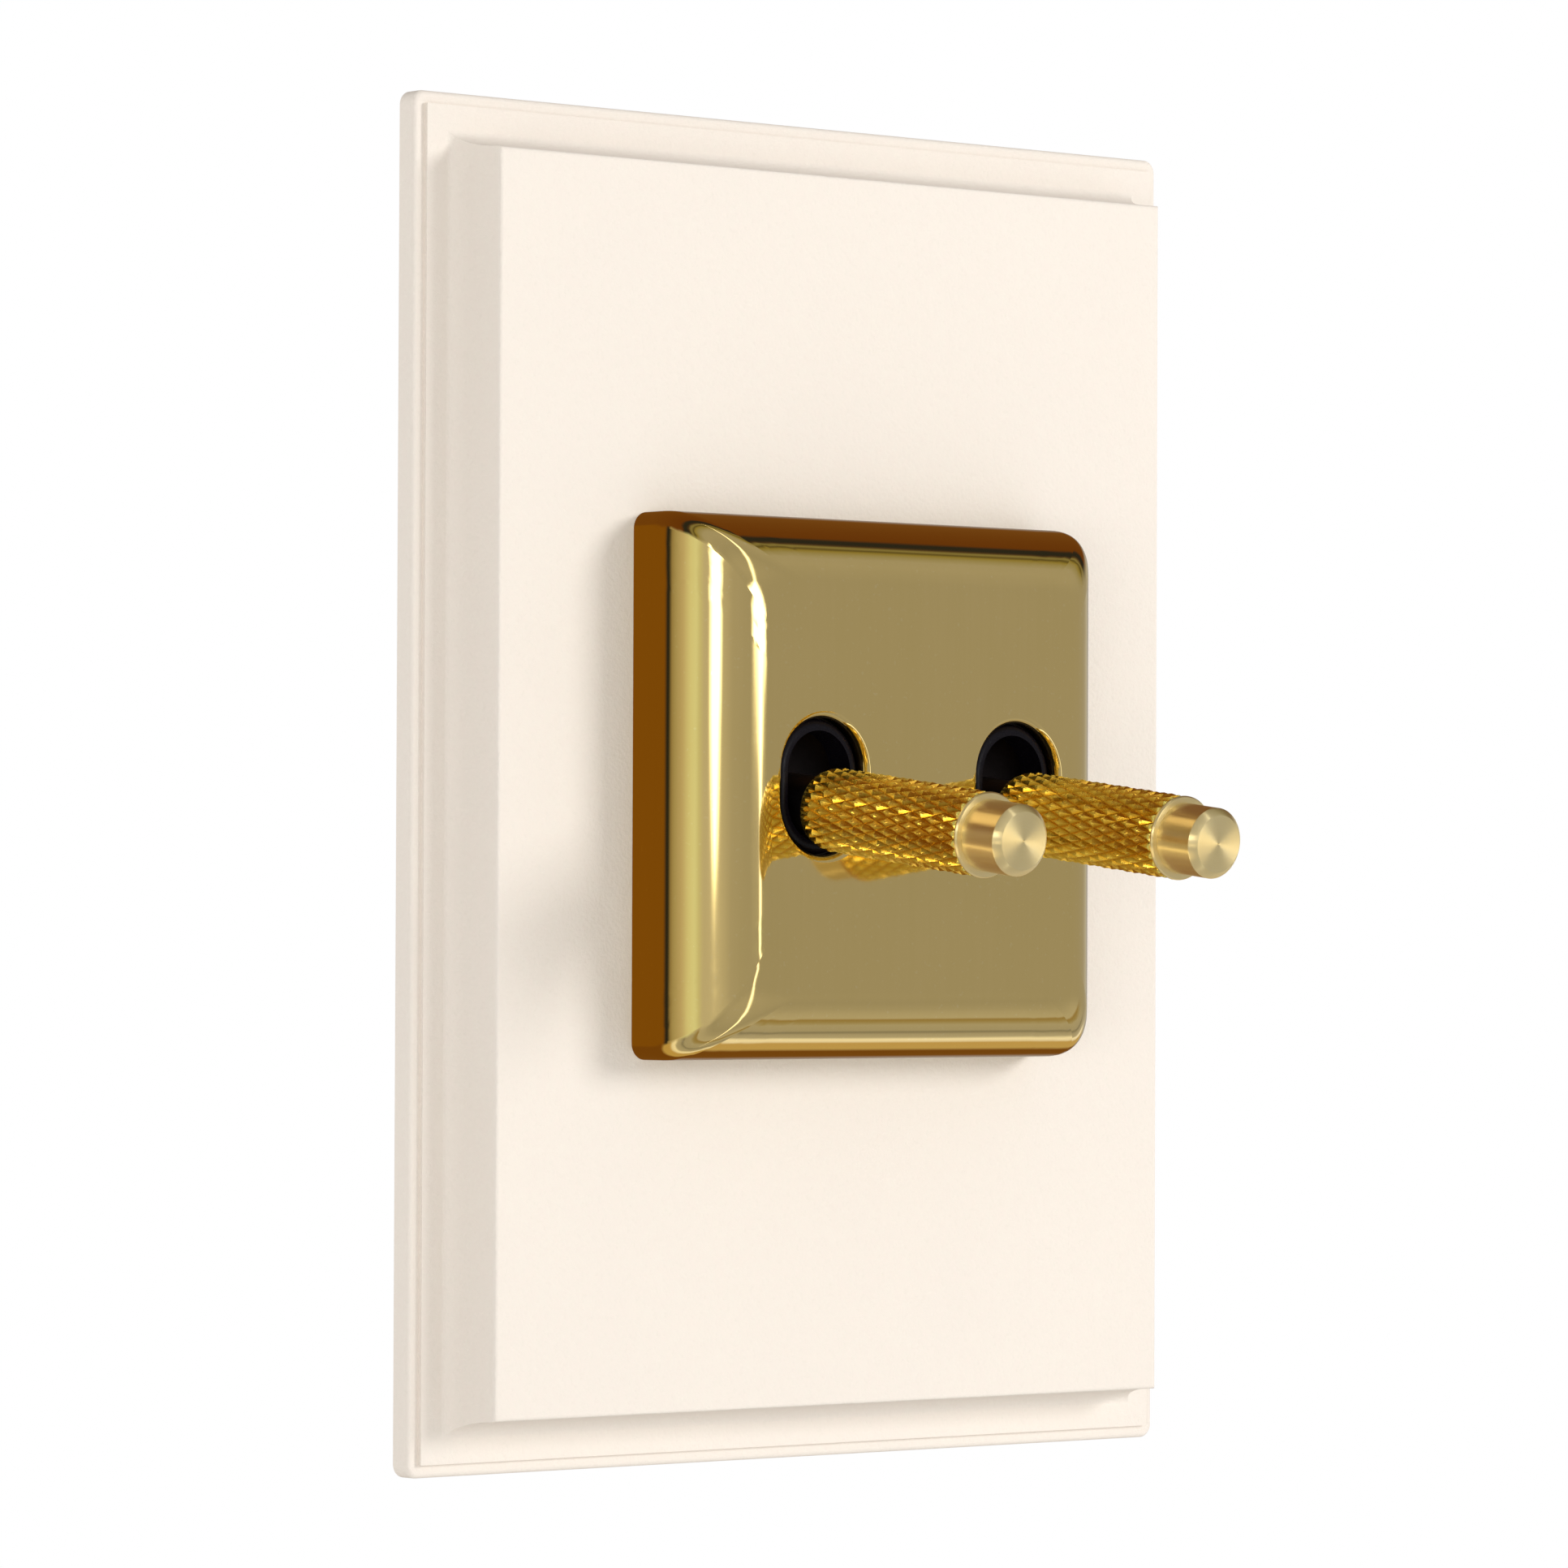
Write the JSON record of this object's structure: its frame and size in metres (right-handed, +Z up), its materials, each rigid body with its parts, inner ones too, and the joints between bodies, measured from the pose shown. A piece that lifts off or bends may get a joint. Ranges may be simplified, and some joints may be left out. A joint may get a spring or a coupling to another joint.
{
  "type": "toggle wall switch",
  "caption": "Wall switch with a stepped cream plate, a pillow-edged polished brass block and knurled brass toggle levers in upright slots.",
  "frame": {"origin": "middle of the mounting yoke's back face, in the wall plane, at the centre of the wall plate", "axes": "+Z up the wall, +Y into the wall, the toggles point along -Y"},
  "size_m": [0.088, 0.0676, 0.12],
  "materials": {
    "ivory_plate": "fine matt texture",
    "polished_brass": "mirror polish",
    "knurled_brass": "diamond knurl",
    "turned_brass": "fine turned",
    "lever_steel": "blackened",
    "liner_black": "satin",
    "shield_black": "matt",
    "housing_grey": "moulded",
    "lid_grey": "moulded",
    "yoke_steel": "zinc plated",
    "screw_steel": "zinc plated",
    "spring_steel": "tempered",
    "terminal_brass": "as machined",
    "contact_brass": "stamped, silver faced",
    "plunger_plastic": "moulded"
  },
  "bodies": {
    "switch_frame": {"wall_plate": "ivory_plate", "brass_face_plate": "polished_brass", "mounting_yoke": "yoke_steel", "box_fixing_screws": "screw_steel", "plate_clips": "spring_steel", "cover_screws": "screw_steel", "earth_terminal": "terminal_brass", "earth_screw": "terminal_brass", "slot_liner_left": "liner_black", "switch_body_left": "housing_grey", "unit_screws_left": "screw_steel", "switch_top_left": "lid_grey", "pivot_pin_left": "screw_steel", "common_terminal_left": "terminal_brass", "upper_terminal_left": "terminal_brass", "lower_terminal_left": "terminal_brass", "terminal_screws_left": "screw_steel", "slot_liner_right": "liner_black", "switch_body_right": "housing_grey", "unit_screws_right": "screw_steel", "switch_top_right": "lid_grey", "pivot_pin_right": "screw_steel", "common_terminal_right": "terminal_brass", "upper_terminal_right": "terminal_brass", "lower_terminal_right": "terminal_brass", "terminal_screws_right": "screw_steel"},
    "toggle_left": {"toggle_lever_left": "lever_steel", "knurled_grip_left": "knurled_brass", "end_cap_left": "turned_brass", "dust_shield_left": "shield_black", "plunger_left": "plunger_plastic", "plunger_spring_left": "spring_steel"},
    "rocker_left": {"contact_rocker_left": "contact_brass"},
    "toggle_right": {"toggle_lever_right": "lever_steel", "knurled_grip_right": "knurled_brass", "end_cap_right": "turned_brass", "dust_shield_right": "shield_black", "plunger_right": "plunger_plastic", "plunger_spring_right": "spring_steel"},
    "rocker_right": {"contact_rocker_right": "contact_brass"}
  },
  "joints": [
    {"name": "left_toggle_tilt", "type": "hinge", "parent": "switch_frame", "child": "toggle_left", "pos_m": [-0.0114, -0.0031, 0], "axis": [-1, 0, 0], "range_deg": [0, 13.6]},
    {"name": "left_rocker_tilt", "type": "hinge", "parent": "switch_frame", "child": "rocker_left", "pos_m": [-0.0114, 0.0105, 0], "axis": [1, 0, 0], "range_deg": [0, 20.4]},
    {"name": "right_toggle_tilt", "type": "hinge", "parent": "switch_frame", "child": "toggle_right", "pos_m": [0.0114, -0.0031, 0], "axis": [-1, 0, 0], "range_deg": [0, 13.6]},
    {"name": "right_rocker_tilt", "type": "hinge", "parent": "switch_frame", "child": "rocker_right", "pos_m": [0.0114, 0.0105, 0], "axis": [1, 0, 0], "range_deg": [0, 20.4]}
  ],
  "couplings": [
    {"joint": "left_rocker_tilt", "follows": "left_toggle_tilt", "ratio": 1.5},
    {"joint": "right_rocker_tilt", "follows": "right_toggle_tilt", "ratio": 1.5}
  ]
}
